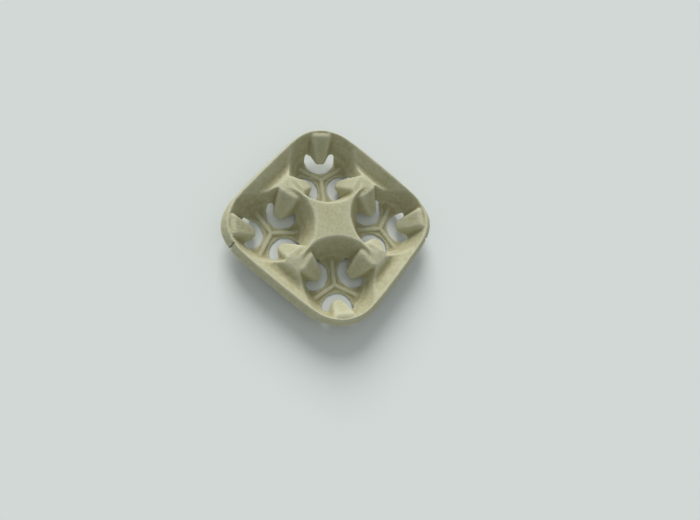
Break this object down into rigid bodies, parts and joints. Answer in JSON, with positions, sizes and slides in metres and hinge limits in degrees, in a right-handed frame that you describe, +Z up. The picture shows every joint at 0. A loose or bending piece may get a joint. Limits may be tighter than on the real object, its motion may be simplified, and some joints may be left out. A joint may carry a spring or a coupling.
{
  "type": "cup carrier",
  "caption": "Square drinks tray moulded in one sheet of pulp, with round cup wells, gripping fingers, crescent slots and a turned-down rim.",
  "frame": {"origin": "centre of the carrier at the level its feet stand on", "axes": "+Z up out of the cup wells; +X and +Y square to the straight sides"},
  "size_m": [0.215, 0.215, 0.042],
  "materials": {
    "pulp": "matt, rough moulded pulp"
  },
  "bodies": {
    "root": {"carrier": "pulp"}
  },
  "joints": []
}
